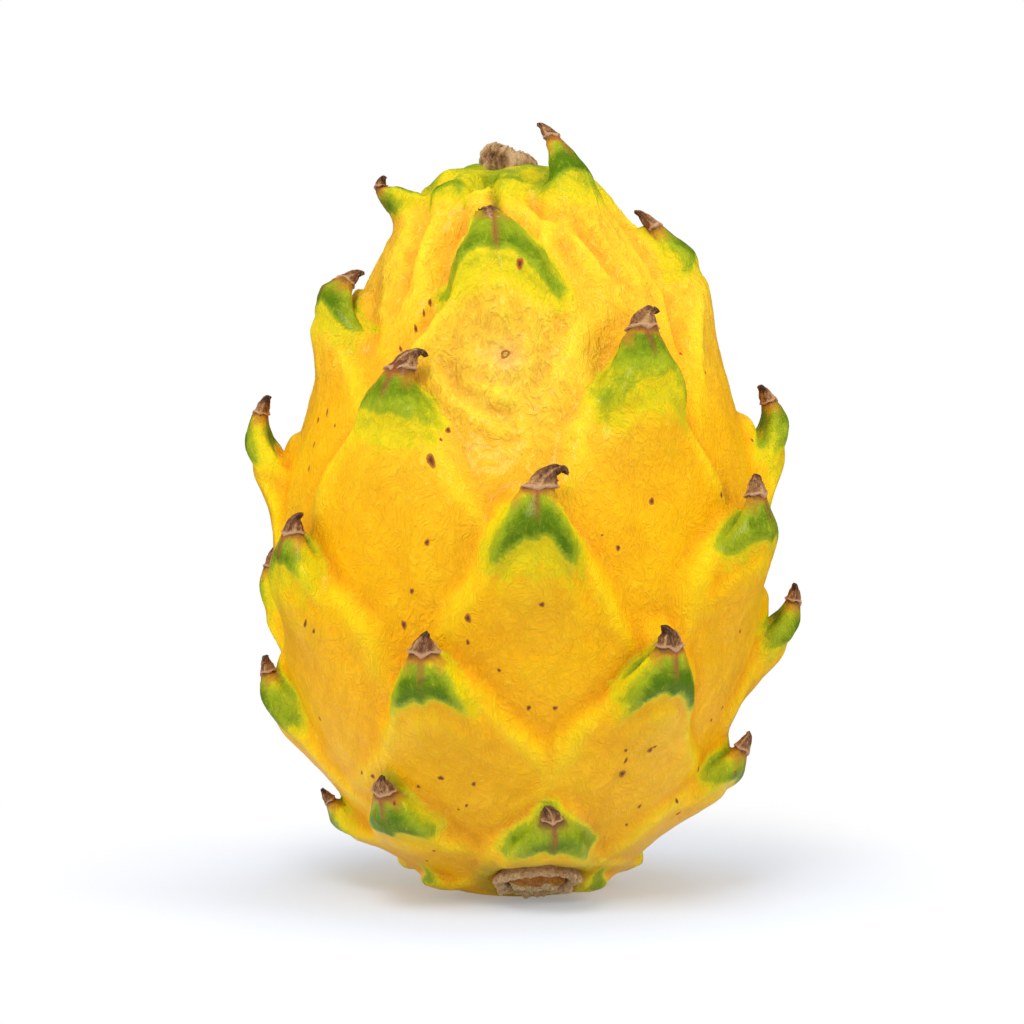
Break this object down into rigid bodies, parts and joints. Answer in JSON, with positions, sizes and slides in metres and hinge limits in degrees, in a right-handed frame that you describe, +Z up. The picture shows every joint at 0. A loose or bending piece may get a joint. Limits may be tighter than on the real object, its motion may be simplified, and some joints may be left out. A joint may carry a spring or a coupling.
{
  "type": "dragon fruit",
  "caption": "Whole yellow dragon fruit standing on its blunt end: an egg-shaped skin with green, brown-tipped scales, a withered flower on top and a corky cut stem below.",
  "frame": {"origin": "on the surface the fruit stands on, under the middle of its box", "axes": "+Z up through the fruit, from the end it stands on to the withered flower; -Y is the front, with the cut stem"},
  "size_m": [0.0955, 0.0951, 0.1306],
  "materials": {
    "rind": "waxy yellow rind, green on the scales",
    "dry_tissue": "shrivelled brown",
    "cork": "rough tan cork"
  },
  "bodies": {
    "root": {"fruit": "rind", "withered_flower": "dry_tissue", "cut_stem": "cork"}
  },
  "joints": []
}
